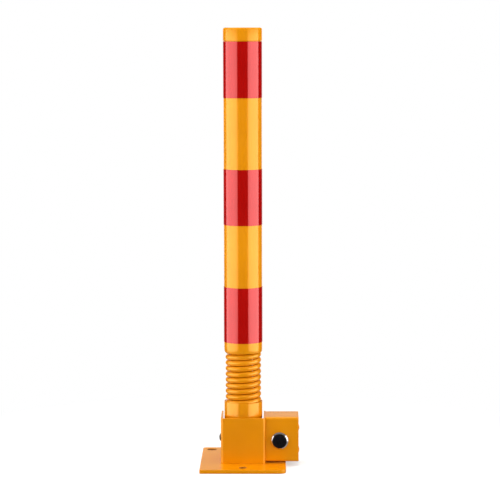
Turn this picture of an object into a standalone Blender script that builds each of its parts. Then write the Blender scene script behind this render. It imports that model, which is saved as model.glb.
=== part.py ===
"""Fold-down parking post: spring-mounted steel tube, hinge bracket and key lock.

Metres, +Z up. The origin is on the underside of the base plate, under the post's axis.
+X points to the lock side, +Y points away from the front, where the post folds down to.
"""

import math

import bmesh
import bpy
from mathutils import Matrix, Vector

# Gaps between pieces
SEAT_GAP = 0.0003
PIN_CLEARANCE = 0.0003
TAPE_GAP = 0.0002

# Base plate
PLATE_WIDTH = 0.134
PLATE_DEPTH = 0.171
PLATE_THICKNESS = 0.006
PLATE_FRONT_LEFT_RADIUS = 0.002
PLATE_FRONT_RIGHT_RADIUS = 0.010
PLATE_BACK_RADIUS = 0.005
ANCHOR_HOLE_RADIUS = 0.00625
ANCHOR_SLOT_LENGTH = 0.016
FRONT_HOLE_MARGIN = 0.0175
BACK_HOLE_MARGIN = 0.0165
SIDE_HOLE_MARGIN = 0.0145

# Post and lower stub, cut from the same tube
TUBE_RADIUS = 0.030
TUBE_WALL = 0.0015
STUB_BELOW_PIVOT = 0.012
STUB_LENGTH = 0.071
POST_LENGTH = 0.4865
POST_LIP_HEIGHT = 0.0064
POST_LIP_LAND = 0.0003

# Spring between them
SPRING_SPAN = 0.0784
SPRING_GRIP = 0.018
WIRE_RADIUS = 0.0042
COIL_PITCH = 0.009
COIL_BELOW_POST = 0.0061
GROUND_TIP_SHARE = 0.4
SEAT_THICKNESS = 0.0055
SPIGOT_LENGTH = 0.014
SPIGOT_CLEARANCE = 0.0008
SPIGOT_CHAMFER = 0.0015

# Cap
CAP_OVERHANG = 0.0005
CAP_HEIGHT = 0.0205
CAP_EDGE_RADIUS = 0.003
CAP_WALL = 0.0025
CAP_SPIGOT_LENGTH = 0.015

# Reflective tape
TAPE_THICKNESS = 0.00035
TAPE_WIDTH = 0.087
TAPE_FOOT_MARGIN = 0.0166
TAPE_MIDDLE_HEIGHT = 0.2447
TAPE_HEAD_MARGIN = 0.0007

# Hinge bracket, a folded sheet
BRACKET_SHEET = 0.003
BRACKET_BEND_RADIUS = 0.005
CHEEK_GAP = 0.002
FRONT_GAP = 0.005
CHEEK_REACH = 0.038
CHEEK_CORNER_RADIUS = 0.012
CHEEK_HEADROOM = 0.0095
WELD_LEG = 0.003
WELD_CORNER_CUT = 0.002

# Pivot
PIVOT_HEIGHT = 0.034
PIVOT_RADIUS = 0.005
PEEN_RADIUS = 0.0058
PEEN_HEIGHT = 0.003
PIVOT_HEAD_RADIUS = 0.0075
PIVOT_HEAD_HEIGHT = 0.0035
SLEEVE_WALL = 0.0027
DOME_RIM_SHARE = 0.33

# Lock housing, a folded sheet closed by an end cover
HOUSING_SHEET = 0.0025
HOUSING_LENGTH = 0.0489
HOUSING_SETBACK = 0.0055
HOUSING_BACK_ROOM = 0.0115
HOUSING_LIFT = 0.0016
HOUSING_HEADROOM = 0.008
HOUSING_BEND_RADIUS = 0.004
COVER_THICKNESS = 0.0025
LUG_LENGTH = 0.0097
LUG_DEPTH = 0.0154
LUG_HEIGHT = 0.012
LOWER_SCREW_LIFT = 0.0179
SCREW_SPACING = 0.035
SCREW_RADIUS = 0.002
SCREW_LENGTH = 0.0105
SCREW_HEAD_RADIUS = 0.0045
SCREW_HEAD_HEIGHT = 0.0011

# Key lock
LOCK_INSET = 0.0217
LOCK_LIFT = 0.0334
BEZEL_RADIUS = 0.014
BEZEL_HEIGHT = 0.0035
BEZEL_BEVEL = 0.0024
BARREL_RADIUS = 0.011
BARREL_LENGTH = 0.0248
NUT_FLAT_RADIUS = 0.014
NUT_THICKNESS = 0.0045
PLUG_RADIUS = 0.006
KEYWAY_WIDTH = 0.0018
KEYWAY_HEIGHT = 0.008
KEYWAY_DEPTH = 0.012
CAM_THICKNESS = 0.0025
CAM_HUB_RADIUS = 0.0055
CAM_TIP_RADIUS = 0.004
CAM_THROW = 0.008
CAM_HALF_TURN = math.radians(45)
CAM_PIN_RADIUS = 0.00225
CAM_PIN_EXCESS = 0.0005
CAM_SCREW_RADIUS = 0.0015
CAM_SCREW_LENGTH = 0.009
CAM_SCREW_HEAD_RADIUS = 0.0032
CAM_SCREW_HEAD_HEIGHT = 0.002

# Dust cover over the keyhole
DUST_COVER_RADIUS = 0.0112
DUST_COVER_THICKNESS = 0.002
DUST_COVER_EDGE = 0.0005
RIVET_OFFSET = 0.0086
RIVET_RADIUS = 0.0012
RIVET_HEAD_RADIUS = 0.0019
RIVET_DEPTH = 0.0016

# Sliding bolt with its yoke and guide
BOLT_RADIUS = 0.005
BOLT_ROOM = 0.0022
BOLT_TIP_INSET = 0.001
BOLT_TAIL_GAP = 0.001
BOLT_CHAMFER = 0.0008
STRIKE_CLEARANCE = 0.0005
YOKE_THICKNESS = 0.0035
YOKE_WALL = 0.0032
YOKE_RUNNING_GAP = 0.0006
YOKE_NECK_WIDTH = 0.0078
SLOT_CLEARANCE = 0.0005
GUIDE_LENGTH = 0.014
GUIDE_GAP = 0.001
GUIDE_HALF_WIDTH = 0.007

# Facets
TUBE_FACETS = 48
LOCK_FACETS = 36
SMALL_FACETS = 24
COIL_FACETS = 18
WIRE_FACETS = 10
CORNER_FACETS = 5
SMOOTH_ANGLE = math.radians(35)

# Places closer than this are taken as one
SAME_PLACE = 1e-6

# Heights that follow from the sizes above
plate_top = PLATE_THICKNESS
pivot_z = plate_top + PIVOT_HEIGHT
stub_bottom = pivot_z - STUB_BELOW_PIVOT
stub_top = stub_bottom + STUB_LENGTH
post_bottom = stub_top + SPRING_SPAN
post_top = post_bottom + POST_LENGTH
spring_low = stub_top - SPRING_GRIP
spring_high = post_bottom + SPRING_GRIP
lower_seat_bottom = spring_low - SEAT_GAP - SEAT_THICKNESS
bolt_z = lower_seat_bottom - BOLT_ROOM - BOLT_RADIUS
bracket_bottom = plate_top + SEAT_GAP
bracket_top = bolt_z + CHEEK_HEADROOM
housing_bottom = plate_top + HOUSING_LIFT
housing_top = bolt_z + HOUSING_HEADROOM + HOUSING_SHEET
lock_z = housing_bottom + LOCK_LIFT
cam_pin_z = lock_z + CAM_THROW * math.cos(CAM_HALF_TURN)
rivet_z = lock_z + RIVET_OFFSET

# Places across the post
tube_bore = TUBE_RADIUS - TUBE_WALL
coil_radius = tube_bore - SEAT_GAP - WIRE_RADIUS
cheek_inside = TUBE_RADIUS + CHEEK_GAP
cheek_outside = cheek_inside + BRACKET_SHEET
housing_left = cheek_outside + SEAT_GAP
housing_right = housing_left + HOUSING_LENGTH
cover_left = housing_right + SEAT_GAP
cover_right = cover_left + COVER_THICKNESS
lock_x = housing_left + LOCK_INSET
cam_pin_x = lock_x + CAM_THROW * math.sin(CAM_HALF_TURN)
bolt_tip = cheek_inside + BOLT_TIP_INSET
bolt_tail = cover_left - BOLT_TAIL_GAP

# Places front to back
front_inside = -(TUBE_RADIUS + FRONT_GAP)
bracket_front = front_inside - BRACKET_SHEET
housing_front = bracket_front + HOUSING_SETBACK
housing_back = GUIDE_HALF_WIDTH + HOUSING_BACK_ROOM + HOUSING_SHEET
bezel_back = housing_front - SEAT_GAP
bezel_front = bezel_back - BEZEL_HEIGHT
barrel_end = bezel_back + BARREL_LENGTH
cam_front = barrel_end + 2 * SEAT_GAP
cam_back = cam_front + CAM_THICKNESS
screw_head_back = cam_back + SEAT_GAP + CAM_SCREW_HEAD_HEIGHT
yoke_front = screw_head_back + YOKE_RUNNING_GAP
yoke_back = yoke_front + YOKE_THICKNESS
dust_cover_back = bezel_front - SEAT_GAP
dust_cover_front = dust_cover_back - DUST_COVER_THICKNESS

# Bending points of the spring, a quarter of the span from each tube
flex_low_z = stub_top + SPRING_SPAN / 4
flex_high_z = post_bottom - SPRING_SPAN / 4

# Colour, metallic and roughness of each finish
FINISHES = {
    "yellow_paint": ((0.791, 0.275, 0.002), 0.0, 0.28),
    "red_film": ((0.503, 0.006, 0.003), 0.0, 0.30),
    "chrome": ((0.80, 0.80, 0.82), 1.0, 0.08),
    "zinc_steel": ((0.46, 0.45, 0.42), 1.0, 0.35),
    "brass": ((0.62, 0.44, 0.16), 1.0, 0.30),
    "black_plastic": ((0.008, 0.009, 0.011), 0.0, 0.35),
}


def clear_scene():
    for old in list(bpy.data.objects):
        bpy.data.objects.remove(old, do_unlink=True)


def finish(name):
    """The material of that name, made on first use."""
    if name in bpy.data.materials:
        return bpy.data.materials[name]
    colour, metallic, roughness = FINISHES[name]
    material = bpy.data.materials.new(name)
    material.use_nodes = True
    shader = material.node_tree.nodes["Principled BSDF"]
    shader.inputs["Base Color"].default_value = (*colour, 1.0)
    shader.inputs["Metallic"].default_value = metallic
    shader.inputs["Roughness"].default_value = roughness
    return material


def arc(centre, radius, start, end, steps):
    """Points along an arc, from angle start to angle end in radians."""
    points = []
    for step in range(steps + 1):
        angle = start + (end - start) * step / steps
        points.append((centre[0] + radius * math.cos(angle), centre[1] + radius * math.sin(angle)))
    return points


def rounded_corner(before, corner, after, radius):
    """The points of one corner of an outline, rounded to a radius."""
    if radius <= 0:
        return [corner]
    point = Vector(corner)
    toward_before = (Vector(before) - point).normalized()
    toward_after = (Vector(after) - point).normalized()
    half_angle = toward_before.angle(toward_after) / 2
    centre = point + (toward_before + toward_after).normalized() * radius / math.sin(half_angle)
    tangent = radius / math.tan(half_angle)
    start = point + toward_before * tangent - centre
    end = point + toward_after * tangent - centre
    start_angle = math.atan2(start.y, start.x)
    turn = math.atan2(end.y, end.x) - start_angle
    turn = (turn + math.pi) % (2 * math.pi) - math.pi
    return arc(centre, radius, start_angle, start_angle + turn, CORNER_FACETS)


def rounded_path(corners, closed):
    """A path through corners given as (x, y, radius). An open path keeps its two ends."""
    points = []
    count = len(corners)
    for index, (x, y, radius) in enumerate(corners):
        if not closed and index in (0, count - 1):
            points.append((x, y))
            continue
        before = corners[index - 1][:2]
        after = corners[(index + 1) % count][:2]
        points.extend(rounded_corner(before, (x, y), after, radius))
    return points


def rounded_rectangle(low, high, radius):
    """The outline of a rectangle with four equal corners, counter-clockwise."""
    corners = [(low[0], low[1]), (high[0], low[1]), (high[0], high[1]), (low[0], high[1])]
    return rounded_path([(x, y, radius) for x, y in corners], closed=True)


def round_link(first, first_radius, second, second_radius):
    """The outline of two circles joined by their outer tangents: a slot when they are equal."""
    reach = Vector(second) - Vector(first)
    heading = math.atan2(reach.y, reach.x)
    lean = math.acos((first_radius - second_radius) / reach.length)
    around_second = arc(second, second_radius, heading - lean, heading + lean, 2 * CORNER_FACETS)
    around_first = arc(first, first_radius, heading + lean, heading + 2 * math.pi - lean, 2 * CORNER_FACETS)
    return around_second + around_first


def offset_path(points, distance):
    """An open path moved to its left by a distance, with mitred corners."""
    moved = []
    for index, point in enumerate(points):
        here = Vector(point)
        sides = []
        if index > 0:
            sides.append((here - Vector(points[index - 1])).normalized())
        if index < len(points) - 1:
            sides.append((Vector(points[index + 1]) - here).normalized())
        normals = [Vector((-side.y, side.x)) for side in sides]
        mean = sum(normals, Vector((0, 0))).normalized()
        moved.append(tuple(here + mean * distance / mean.dot(normals[0])))
    return moved


def to_space(plane, u, v, along):
    """A point of a drawing plane in space: xy drawings rise in Z, yz in X and xz in Y."""
    if plane == "xy":
        return (u, v, along)
    if plane == "yz":
        return (along, u, v)
    return (u, along, v)


def prism(plane, outline, low, high):
    """A solid with the outline as its section, from low to high across the plane."""
    bm = bmesh.new()
    section = bm.faces.new([bm.verts.new(to_space(plane, u, v, low)) for u, v in outline])
    copied = bmesh.ops.extrude_face_region(bm, geom=[section])
    lifted = [item for item in copied["geom"] if isinstance(item, bmesh.types.BMVert)]
    bmesh.ops.translate(bm, verts=lifted, vec=to_space(plane, 0, 0, high - low))
    return bm


def tube_section(plane, outer, inner, low, high):
    """A hollow section: the outline with an inner outline of as many points."""
    bm = bmesh.new()
    loops = []
    for outline, along in ((outer, low), (outer, high), (inner, high), (inner, low)):
        loops.append([bm.verts.new(to_space(plane, u, v, along)) for u, v in outline])
    for index, loop in enumerate(loops):
        following = loops[(index + 1) % len(loops)]
        for point in range(len(loop)):
            after = (point + 1) % len(loop)
            bm.faces.new((loop[point], loop[after], following[after], following[point]))
    return bm


def turned(profile, facets, axis="z", centre=(0, 0, 0)):
    """A turned solid. The profile lists (radius, place along the axis) round its section."""
    bm = bmesh.new()
    verts = [bm.verts.new((radius, 0, along)) for radius, along in profile]
    edges = []
    for index, vert in enumerate(verts):
        following = verts[(index + 1) % len(verts)]
        on_axis = vert.co.x == 0 and following.co.x == 0
        if not on_axis:
            edges.append(bm.edges.new((vert, following)))
    bmesh.ops.spin(
        bm,
        geom=verts + edges,
        axis=(0, 0, 1),
        cent=(0, 0, 0),
        angle=2 * math.pi,
        steps=facets,
        use_merge=True,
    )
    bmesh.ops.remove_doubles(bm, verts=bm.verts, dist=SAME_PLACE)
    turns = {
        "z": Matrix.Identity(4),
        "x": Matrix.Rotation(math.radians(90), 4, "Y"),
        "y": Matrix.Rotation(math.radians(-90), 4, "X"),
    }
    bmesh.ops.transform(bm, matrix=Matrix.Translation(centre) @ turns[axis], verts=bm.verts)
    return bm


def rod(radius, low, high, axis, centre, facets=SMALL_FACETS):
    """A plain round bar along an axis through a centre point."""
    return turned([(0, low), (radius, low), (radius, high), (0, high)], facets, axis, centre)


def add_piece(name, bm, look, origin=(0, 0, 0), parent=None):
    """Make a node from a solid drawn in world places, with its own origin and parent."""
    bmesh.ops.recalc_face_normals(bm, faces=bm.faces)
    bmesh.ops.translate(bm, verts=bm.verts, vec=-Vector(origin))
    mesh = bpy.data.meshes.new(name)
    bm.to_mesh(mesh)
    bm.free()
    mesh.shade_smooth()
    mesh.set_sharp_from_angle(angle=SMOOTH_ANGLE)
    mesh.materials.append(finish(look))
    piece = bpy.data.objects.new(name, mesh)
    bpy.context.collection.objects.link(piece)
    place(piece, origin, parent)
    return piece


def place(item, origin, parent):
    """Put an object at a world place, under its parent."""
    item.location = origin
    if parent is not None:
        item.parent = parent
        item.location = Vector(origin) - world_place(parent)


def world_place(item):
    """The world place of an object that is only moved, never turned."""
    spot = item.location.copy()
    while item.parent is not None:
        item = item.parent
        spot += item.location
    return spot


def add_axis(name, origin, parent=None):
    """An empty on a joint's axis, which carries the pieces that move with it."""
    marker = bpy.data.objects.new(name, None)
    marker.empty_display_size = TUBE_RADIUS
    bpy.context.collection.objects.link(marker)
    place(marker, origin, parent)
    return marker


def add_form(piece, label, bm, operation="DIFFERENCE"):
    """Cut a form out of a piece, or unite one with it."""
    bmesh.ops.recalc_face_normals(bm, faces=bm.faces)
    mesh = bpy.data.meshes.new(label)
    bm.to_mesh(mesh)
    bm.free()
    form = bpy.data.objects.new(label, mesh)
    form.hide_render = True
    form.display_type = "WIRE"
    bpy.context.collection.objects.link(form)
    modifier = piece.modifiers.new(label, "BOOLEAN")
    modifier.operation = operation
    modifier.solver = "EXACT"
    modifier.object = form


def base_plate():
    """Flat plate with one round anchor hole in front and two slots behind."""
    half_width = PLATE_WIDTH / 2
    half_depth = PLATE_DEPTH / 2
    outline = rounded_path(
        [
            (-half_width, -half_depth, PLATE_FRONT_LEFT_RADIUS),
            (half_width, -half_depth, PLATE_FRONT_RIGHT_RADIUS),
            (half_width, half_depth, PLATE_BACK_RADIUS),
            (-half_width, half_depth, PLATE_BACK_RADIUS),
        ],
        closed=True,
    )
    plate = add_piece("base_plate", prism("xy", outline, 0, plate_top), "yellow_paint")
    below, above = -PLATE_THICKNESS, 2 * PLATE_THICKNESS
    front_hole = (0, FRONT_HOLE_MARGIN - half_depth, 0)
    add_form(plate, "anchor_hole_front", rod(ANCHOR_HOLE_RADIUS, below, above, "z", front_hole))
    straight = ANCHOR_SLOT_LENGTH / 2 - ANCHOR_HOLE_RADIUS
    slot_y = half_depth - BACK_HOLE_MARGIN
    for side, label in ((-1, "anchor_slot_left"), (1, "anchor_slot_right")):
        middle = side * (half_width - SIDE_HOLE_MARGIN)
        ends = ((middle - straight, slot_y), (middle + straight, slot_y))
        slot = round_link(ends[0], ANCHOR_HOLE_RADIUS, ends[1], ANCHOR_HOLE_RADIUS)
        add_form(plate, label, prism("xy", slot, below, above))


def hinge_bracket():
    """Sheet folded to a U round the stub, with rounded cheeks and bored for pin and bolt."""
    outer = rounded_path(
        [
            (-cheek_outside, CHEEK_REACH, 0),
            (-cheek_outside, bracket_front, BRACKET_BEND_RADIUS),
            (cheek_outside, bracket_front, BRACKET_BEND_RADIUS),
            (cheek_outside, CHEEK_REACH, 0),
        ],
        closed=False,
    )
    inner = offset_path(outer, BRACKET_SHEET)
    bm = prism("xy", outer + inner[::-1], bracket_bottom, bracket_top)
    back_edges = [edge for edge in bm.edges if all(is_back_top(vert) for vert in edge.verts)]
    bmesh.ops.bevel(
        bm,
        geom=back_edges,
        offset=CHEEK_CORNER_RADIUS,
        offset_type="OFFSET",
        segments=CORNER_FACETS,
        profile=0.5,
        affect="EDGES",
    )
    bracket = add_piece("hinge_bracket", bm, "yellow_paint")
    beyond = 2 * cheek_outside
    pin_hole = rod(PIVOT_RADIUS + PIN_CLEARANCE, -beyond, beyond, "x", (0, 0, pivot_z))
    add_form(bracket, "bracket_pin_hole", pin_hole)
    bolt_hole = rod(BOLT_RADIUS + PIN_CLEARANCE, TUBE_RADIUS, beyond, "x", (0, 0, bolt_z))
    add_form(bracket, "bracket_bolt_hole", bolt_hole)


def is_back_top(vert):
    """Whether a point of the bracket lies on the top edge behind a cheek."""
    return abs(vert.co.y - CHEEK_REACH) < SAME_PLACE and abs(vert.co.z - bracket_top) < SAME_PLACE


def bracket_weld():
    """Fillet weld along the inside of the bracket's foot, three-cornered in section."""
    wall_x = cheek_inside - SEAT_GAP
    wall_y = front_inside + SEAT_GAP
    cut = WELD_CORNER_CUT
    at_wall = [
        (-wall_x, CHEEK_REACH),
        (-wall_x, wall_y + cut),
        (-wall_x + cut, wall_y),
        (wall_x - cut, wall_y),
        (wall_x, wall_y + cut),
        (wall_x, CHEEK_REACH),
    ]
    at_toe = offset_path(at_wall, WELD_LEG)
    foot = plate_top + SEAT_GAP
    bm = bmesh.new()
    rows = []
    for points, height in ((at_wall, foot), (at_toe, foot), (at_wall, foot + WELD_LEG)):
        rows.append([bm.verts.new((x, y, height)) for x, y in points])
    for row, following in zip(rows, rows[1:] + rows[:1]):
        for index in range(len(row) - 1):
            bm.faces.new((row[index], row[index + 1], following[index + 1], following[index]))
    for end in (0, -1):
        bm.faces.new([row[end] for row in rows])
    add_piece("bracket_weld", bm, "yellow_paint")


def pivot_pin():
    """Hinge pin through both cheeks, headed inside the lock housing and peened outside."""
    left = -cheek_outside - SEAT_GAP
    right = cheek_outside + SEAT_GAP
    peen = domed_end(PIVOT_RADIUS, PEEN_RADIUS, PEEN_HEIGHT, left, -1)
    head = domed_end(PIVOT_RADIUS, PIVOT_HEAD_RADIUS, PIVOT_HEAD_HEIGHT, right, 1)
    pin = turned(peen[::-1] + head, SMALL_FACETS, "x", (0, 0, pivot_z))
    add_piece("pivot_pin", pin, "zinc_steel", (0, 0, pivot_z))


def domed_end(shank, radius, height, start, sign):
    """Profile of a low domed head on an upright rim, from the shank out to the axis."""
    rim = height * DOME_RIM_SHARE
    points = [(shank, start), (radius, start)]
    for step in range(CORNER_FACETS):
        angle = math.pi / 2 * step / CORNER_FACETS
        rise = rim + (height - rim) * math.sin(angle)
        points.append((radius * math.cos(angle), start + sign * rise))
    points.append((0, start + sign * height))
    return points


def lower_stub(fold):
    """Short tube in the bracket: bored for the pivot sleeve and, on the lock side, the bolt."""
    origin = (0, 0, pivot_z)
    tube = turned(ring_profile(tube_bore, TUBE_RADIUS, stub_bottom, stub_top), TUBE_FACETS)
    stub = add_piece("lower_stub", tube, "yellow_paint", origin, fold)
    sleeve_radius = PIVOT_RADIUS + PIN_CLEARANCE + SLEEVE_WALL
    sleeve_hole = rod(sleeve_radius + SEAT_GAP, -2 * TUBE_RADIUS, 2 * TUBE_RADIUS, "x", origin)
    add_form(stub, "stub_sleeve_hole", sleeve_hole)
    strike_radius = BOLT_RADIUS + STRIKE_CLEARANCE
    add_form(stub, "stub_bolt_hole", rod(strike_radius, 0, 2 * TUBE_RADIUS, "x", (0, 0, bolt_z)))
    half = cheek_inside - SEAT_GAP
    profile = ring_profile(PIVOT_RADIUS + PIN_CLEARANCE, sleeve_radius, -half, half)
    sleeve = turned(profile, SMALL_FACETS, "x", origin)
    add_piece("pivot_sleeve", sleeve, "yellow_paint", origin, fold)


def ring_profile(inner, outer, low, high):
    """Section of a plain ring or tube with square ends."""
    return [(inner, low), (outer, low), (outer, high), (inner, high)]


def spring_seat(name, face, sign, parent):
    """Round plug in a tube's end: a disc the spring bears on and a spigot inside its coils."""
    radius = tube_bore - SEAT_GAP
    spigot = coil_radius - WIRE_RADIUS - SPIGOT_CLEARANCE
    tip = face + sign * SPIGOT_LENGTH
    profile = [
        (0, face - sign * SEAT_THICKNESS),
        (radius, face - sign * SEAT_THICKNESS),
        (radius, face),
        (spigot, face),
        (spigot, tip - sign * SPIGOT_CHAMFER),
        (spigot - SPIGOT_CHAMFER, tip),
        (0, tip),
    ]
    add_piece(name, turned(profile, TUBE_FACETS), "yellow_paint", world_place(parent), parent)


def coil_spring(flex):
    """Right-handed coil, its ends ground flat where they bear on the seats."""
    front_turn = -math.pi / 2
    front_z = post_bottom - COIL_BELOW_POST
    end_overrun = WIRE_RADIUS * (1 - GROUND_TIP_SHARE)
    first = front_turn + (spring_low - end_overrun - front_z) / COIL_PITCH * 2 * math.pi
    last = front_turn + (spring_high + end_overrun - front_z) / COIL_PITCH * 2 * math.pi
    steps = math.ceil((last - first) / (2 * math.pi) * COIL_FACETS)
    slope = math.atan2(COIL_PITCH, 2 * math.pi * coil_radius)
    bm = bmesh.new()
    rings = []
    for step in range(steps + 1):
        turn = first + (last - first) * step / steps
        outward = Vector((math.cos(turn), math.sin(turn), 0))
        around = Vector((-math.sin(turn), math.cos(turn), 0))
        upward = Vector((0, 0, math.cos(slope))) - around * math.sin(slope)
        height = front_z + COIL_PITCH * (turn - front_turn) / (2 * math.pi)
        centre = outward * coil_radius + Vector((0, 0, height))
        ring = []
        for side in range(WIRE_FACETS):
            angle = 2 * math.pi * side / WIRE_FACETS
            offset = outward * math.cos(angle) + upward * math.sin(angle)
            ring.append(bm.verts.new(centre + offset * WIRE_RADIUS))
        rings.append(ring)
    for ring, following in zip(rings, rings[1:]):
        for side in range(WIRE_FACETS):
            after = (side + 1) % WIRE_FACETS
            bm.faces.new((ring[side], ring[after], following[after], following[side]))
    bm.faces.new(rings[0])
    bm.faces.new(rings[-1])
    for height, side in ((spring_low, -1), (spring_high, 1)):
        grind_flat(bm, height, side)
    add_piece("coil_spring", bm, "yellow_paint", (0, 0, flex_low_z), flex)


def grind_flat(bm, height, side):
    """Cut a solid off at a level and close it; side -1 takes off what is below."""
    everything = list(bm.verts) + list(bm.edges) + list(bm.faces)
    cut = bmesh.ops.bisect_plane(
        bm,
        geom=everything,
        dist=SAME_PLACE,
        plane_co=(0, 0, height),
        plane_no=(0, 0, side),
        clear_outer=True,
    )
    rim = [item for item in cut["geom_cut"] if isinstance(item, bmesh.types.BMEdge)]
    bmesh.ops.edgeloop_fill(bm, edges=rim)


def post_tube(flex):
    """Main tube; its lower end is rounded over where the spring comes out."""
    lip = []
    lip_radius = TUBE_WALL - POST_LIP_LAND
    for x, z in arc((0, 0), 1, -math.pi / 2, 0, CORNER_FACETS):
        lip.append((TUBE_RADIUS - lip_radius * (1 - x), post_bottom + POST_LIP_HEIGHT * (1 + z)))
    profile = [(tube_bore, post_bottom)] + lip + [(TUBE_RADIUS, post_top), (tube_bore, post_top)]
    tube = turned(profile, TUBE_FACETS)
    add_piece("post_tube", tube, "yellow_paint", (0, 0, flex_high_z), flex)


def top_cap(flex):
    """Pressed-in cap with a rounded rim, hollow below."""
    seat = post_top + SEAT_GAP
    crown = seat + CAP_HEIGHT
    radius = TUBE_RADIUS + CAP_OVERHANG
    spigot = tube_bore - SEAT_GAP
    hollow = spigot - CAP_WALL
    foot = seat - CAP_SPIGOT_LENGTH
    rim_centre = (radius - CAP_EDGE_RADIUS, crown - CAP_EDGE_RADIUS)
    profile = [(spigot, foot), (spigot, seat), (radius, seat)]
    profile += arc(rim_centre, CAP_EDGE_RADIUS, 0, math.pi / 2, CORNER_FACETS)
    profile += [(0, crown), (0, crown - CAP_WALL), (hollow, crown - CAP_WALL), (hollow, foot)]
    add_piece("top_cap", turned(profile, TUBE_FACETS), "yellow_paint", (0, 0, flex_high_z), flex)


def reflective_tapes(flex):
    """Three bands of film round the post, all of one width."""
    inner = TUBE_RADIUS + TAPE_GAP
    outer = inner + TAPE_THICKNESS
    starts = {
        "tape_bottom": post_bottom + TAPE_FOOT_MARGIN,
        "tape_middle": post_bottom + TAPE_MIDDLE_HEIGHT - TAPE_WIDTH / 2,
        "tape_top": post_top - TAPE_HEAD_MARGIN - TAPE_WIDTH,
    }
    for name, low in starts.items():
        band = turned(ring_profile(inner, outer, low, low + TAPE_WIDTH), TUBE_FACETS)
        add_piece(name, band, "red_film", (0, 0, flex_high_z), flex)


def lock_housing():
    """Sheet folded round the lock, open towards the bracket and closed by the end cover."""
    sheet = HOUSING_SHEET
    low = (housing_front, housing_bottom)
    high = (housing_back, housing_top)
    inner_low = (housing_front + sheet, housing_bottom + sheet)
    inner_high = (housing_back - sheet, housing_top - sheet)
    outer = rounded_rectangle(low, high, HOUSING_BEND_RADIUS)
    inner = rounded_rectangle(inner_low, inner_high, HOUSING_BEND_RADIUS - sheet)
    bm = tube_section("yz", outer, inner, housing_left, housing_right)
    housing = add_piece("lock_housing", bm, "yellow_paint")
    lock_place = (lock_x, housing_front, lock_z)
    lock_hole = rod(BARREL_RADIUS + PIN_CLEARANCE, -sheet, 2 * sheet, "y", lock_place)
    add_form(housing, "housing_lock_hole", lock_hole)

    cover = add_piece("housing_cover", prism("yz", outer, cover_left, cover_right), "yellow_paint")
    lug_front = housing_front + sheet + SEAT_GAP
    screw_y = lug_front + LUG_DEPTH / 2
    lower_z = housing_bottom + LOWER_SCREW_LIFT
    for level, screw_z in (("lower", lower_z), ("upper", lower_z + SCREW_SPACING)):
        centre = (cover_left, screw_y, screw_z)
        half = LUG_HEIGHT / 2
        section = [
            (lug_front, screw_z - half),
            (lug_front + LUG_DEPTH, screw_z - half),
            (lug_front + LUG_DEPTH, screw_z + half),
            (lug_front, screw_z + half),
        ]
        lug_bm = prism("yz", section, housing_right - LUG_LENGTH, housing_right)
        lug = add_piece("cover_lug_" + level, lug_bm, "yellow_paint")
        hole_radius = SCREW_RADIUS + PIN_CLEARANCE
        add_form(lug, "lug_hole_" + level, rod(hole_radius, -2 * LUG_LENGTH, LUG_LENGTH, "x", centre))
        cover_hole = rod(hole_radius, -COVER_THICKNESS, 2 * COVER_THICKNESS, "x", centre)
        add_form(cover, "cover_hole_" + level, cover_hole)
        head_start = COVER_THICKNESS + SEAT_GAP
        head = domed_end(SCREW_RADIUS, SCREW_HEAD_RADIUS, SCREW_HEAD_HEIGHT, head_start, 1)
        shank_end = head_start - SCREW_LENGTH
        profile = [(0, shank_end), (SCREW_RADIUS, shank_end)] + head
        screw = turned(profile, SMALL_FACETS, "x", centre)
        add_piece("cover_screw_" + level, screw, "yellow_paint", centre)


def lock_body():
    """Lock barrel with its bevelled bezel, and the nut that holds it in the housing."""
    centre = (lock_x, 0, lock_z)
    bore = PLUG_RADIUS + PIN_CLEARANCE
    profile = [
        (bore, bezel_front),
        (BEZEL_RADIUS - BEZEL_BEVEL, bezel_front),
        (BEZEL_RADIUS, bezel_front + BEZEL_BEVEL),
        (BEZEL_RADIUS, bezel_back),
        (BARREL_RADIUS, bezel_back),
        (BARREL_RADIUS, barrel_end),
        (bore, barrel_end),
    ]
    body = add_piece("lock_body", turned(profile, LOCK_FACETS, "y", centre), "chrome", centre)
    rivet_foot = (lock_x, bezel_front, rivet_z)
    depth = RIVET_DEPTH + SEAT_GAP
    rivet_hole = rod(RIVET_RADIUS + PIN_CLEARANCE, -depth, depth, "y", rivet_foot)
    add_form(body, "bezel_rivet_hole", rivet_hole)

    nut_start = housing_front + HOUSING_SHEET + SEAT_GAP
    corner_radius = NUT_FLAT_RADIUS / math.cos(math.pi / 6)
    hexagon = []
    for corner in range(6):
        angle = math.pi / 6 + math.pi / 3 * corner
        across, up = corner_radius * math.cos(angle), corner_radius * math.sin(angle)
        hexagon.append((lock_x + across, lock_z + up))
    nut_end = nut_start + NUT_THICKNESS
    nut = add_piece("lock_nut", prism("xz", hexagon, nut_start, nut_end), "brass", centre)
    bore_ends = (nut_start - NUT_THICKNESS, nut_end + NUT_THICKNESS)
    nut_bore = rod(BARREL_RADIUS + PIN_CLEARANCE, *bore_ends, "y", centre)
    add_form(nut, "nut_bore", nut_bore)


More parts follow.
